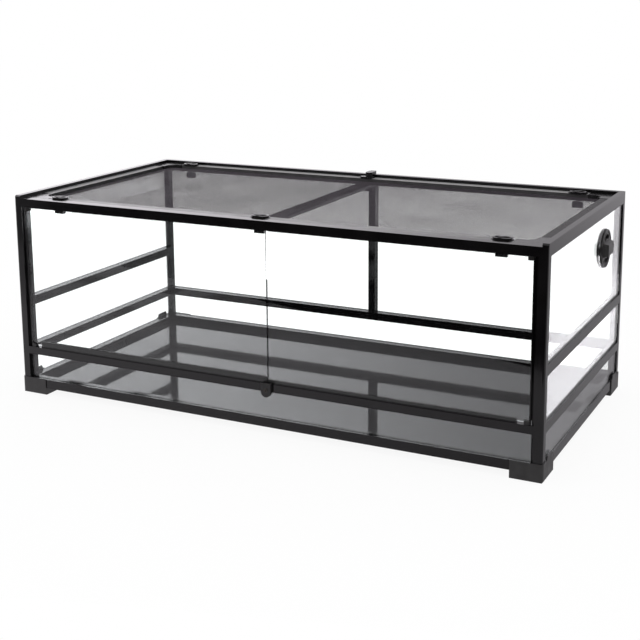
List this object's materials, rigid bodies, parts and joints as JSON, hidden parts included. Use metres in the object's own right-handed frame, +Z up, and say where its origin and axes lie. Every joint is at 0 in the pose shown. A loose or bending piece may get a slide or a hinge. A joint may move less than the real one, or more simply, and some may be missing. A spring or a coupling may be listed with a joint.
{
  "type": "reptile terrarium",
  "caption": "Wide framed glass terrarium with front swing doors, key lock, lift-off mesh lid with turn locks, and a side vent port.",
  "frame": {"origin": "middle of the footprint, on the floor under the feet", "axes": "+X to the right along the doors, +Y from the doors to the rear, +Z up"},
  "size_m": [1.2338, 0.62, 0.465],
  "materials": {
    "frame_black": "glossy black PVC profile",
    "moulded_black": "satin black moulded ABS",
    "lid_plastic": "glossy dark moulded ABS",
    "clear_glass": "clear float glass, polished edges",
    "floor_black": "black-backed glass, mirror gloss",
    "smoked_strip": "smoked translucent PVC",
    "mesh_wire": "fine black powder-coated woven wire",
    "lock_metal": "dark nickel"
  },
  "bodies": {
    "frame": {"foot_front_left": "moulded_black", "foot_front_right": "moulded_black", "foot_rear_left": "moulded_black", "foot_rear_right": "moulded_black", "post_front_left": "frame_black", "post_front_right": "frame_black", "post_rear_left": "frame_black", "post_rear_right": "frame_black", "top_corner_caps": "moulded_black", "bottom_rail_front": "frame_black", "bottom_rail_rear": "frame_black", "bottom_rail_left": "frame_black", "bottom_rail_right": "frame_black", "top_rail_front": "frame_black", "top_rail_rear": "frame_black", "top_rail_left": "frame_black", "top_rail_right": "frame_black", "front_sill": "frame_black", "rear_mid_rail": "frame_black", "lower_side_rail_left": "frame_black", "lower_side_rail_right": "frame_black", "upper_side_rail_left": "frame_black", "upper_side_rail_right": "frame_black", "rear_centre_post": "frame_black", "floor_panel": "floor_black", "front_lower_glass": "clear_glass", "rear_lower_glass": "clear_glass", "rear_upper_glass_left": "clear_glass", "rear_upper_glass_right": "clear_glass", "left_lower_glass": "clear_glass", "left_middle_glass": "clear_glass", "left_upper_glass": "clear_glass", "right_lower_glass": "clear_glass", "right_middle_glass": "clear_glass", "right_upper_glass": "clear_glass", "port_outer_flange": "moulded_black", "port_inner_flange": "moulded_black", "lock_housing": "moulded_black"},
    "left_door": {"left_door_glass": "clear_glass", "left_door_pivots": "moulded_black", "left_door_strip": "smoked_strip"},
    "right_door": {"right_door_glass": "clear_glass", "right_door_pivots": "moulded_black", "right_door_strip": "smoked_strip"},
    "lock_plug": {"lock_plug": "lock_metal"},
    "lock_bolt": {"lock_bolt": "lock_metal"},
    "port_dial": {"port_dial": "moulded_black"},
    "screen_lid": {"lid_bar_front": "frame_black", "lid_bar_rear": "frame_black", "lid_bar_left": "frame_black", "lid_bar_right": "frame_black", "lid_plates": "lid_plastic", "lid_mesh": "mesh_wire", "lid_cross_bar": "frame_black"},
    "lid_lock_front_left": {"lid_lock_front_left": "moulded_black"},
    "lid_lock_front_middle": {"lid_lock_front_middle": "moulded_black"},
    "lid_lock_front_right": {"lid_lock_front_right": "moulded_black"},
    "lid_lock_rear_left": {"lid_lock_rear_left": "moulded_black"},
    "lid_lock_rear_middle": {"lid_lock_rear_middle": "moulded_black"},
    "lid_lock_rear_right": {"lid_lock_rear_right": "moulded_black"}
  },
  "joints": [
    {"name": "left_door_hinge", "type": "hinge", "parent": "frame", "child": "left_door", "pos_m": [-0.5785, -0.2985, 0.27], "axis": [0, 0, 1], "range_deg": [-110, 0]},
    {"name": "right_door_hinge", "type": "hinge", "parent": "frame", "child": "right_door", "pos_m": [0.5785, -0.2985, 0.27], "axis": [0, 0, 1], "range_deg": [0, 110]},
    {"name": "lock_turn", "type": "hinge", "parent": "frame", "child": "lock_plug", "pos_m": [0.0275, -0.312, 0.098], "axis": [0, -1, 0], "range_deg": [0, 90]},
    {"name": "bolt_rise", "type": "slide", "parent": "frame", "child": "lock_bolt", "axis": [0, 0, 1], "range_m": [0, 0.006]},
    {"name": "port_turn", "type": "hinge", "parent": "frame", "child": "port_dial", "pos_m": [0.612, 0.134, 0.361], "axis": [1, 0, 0], "range_deg": [0, 90]},
    {"name": "lid_lift", "type": "slide", "parent": "frame", "child": "screen_lid", "axis": [0, 0, 1], "range_m": [0, 0.06]},
    {"name": "lock_front_left_turn", "type": "hinge", "parent": "screen_lid", "child": "lid_lock_front_left", "pos_m": [-0.511, -0.268, 0.445], "axis": [0, 0, 1], "range_deg": [0, 90]},
    {"name": "lock_front_middle_turn", "type": "hinge", "parent": "screen_lid", "child": "lid_lock_front_middle", "pos_m": [-0.003, -0.268, 0.445], "axis": [0, 0, 1], "range_deg": [0, 90]},
    {"name": "lock_front_right_turn", "type": "hinge", "parent": "screen_lid", "child": "lid_lock_front_right", "pos_m": [0.511, -0.268, 0.445], "axis": [0, 0, 1], "range_deg": [0, 90]},
    {"name": "lock_rear_left_turn", "type": "hinge", "parent": "screen_lid", "child": "lid_lock_rear_left", "pos_m": [-0.511, 0.2716, 0.445], "axis": [0, 0, 1], "range_deg": [0, 90]},
    {"name": "lock_rear_middle_turn", "type": "hinge", "parent": "screen_lid", "child": "lid_lock_rear_middle", "pos_m": [-0.003, 0.274, 0.445], "axis": [0, 0, 1], "range_deg": [0, 90]},
    {"name": "lock_rear_right_turn", "type": "hinge", "parent": "screen_lid", "child": "lid_lock_rear_right", "pos_m": [0.511, 0.2716, 0.445], "axis": [0, 0, 1], "range_deg": [0, 90]}
  ],
  "couplings": [
    {"joint": "lock_turn", "follows": "bolt_rise", "rad_per_m": 261.8}
  ]
}
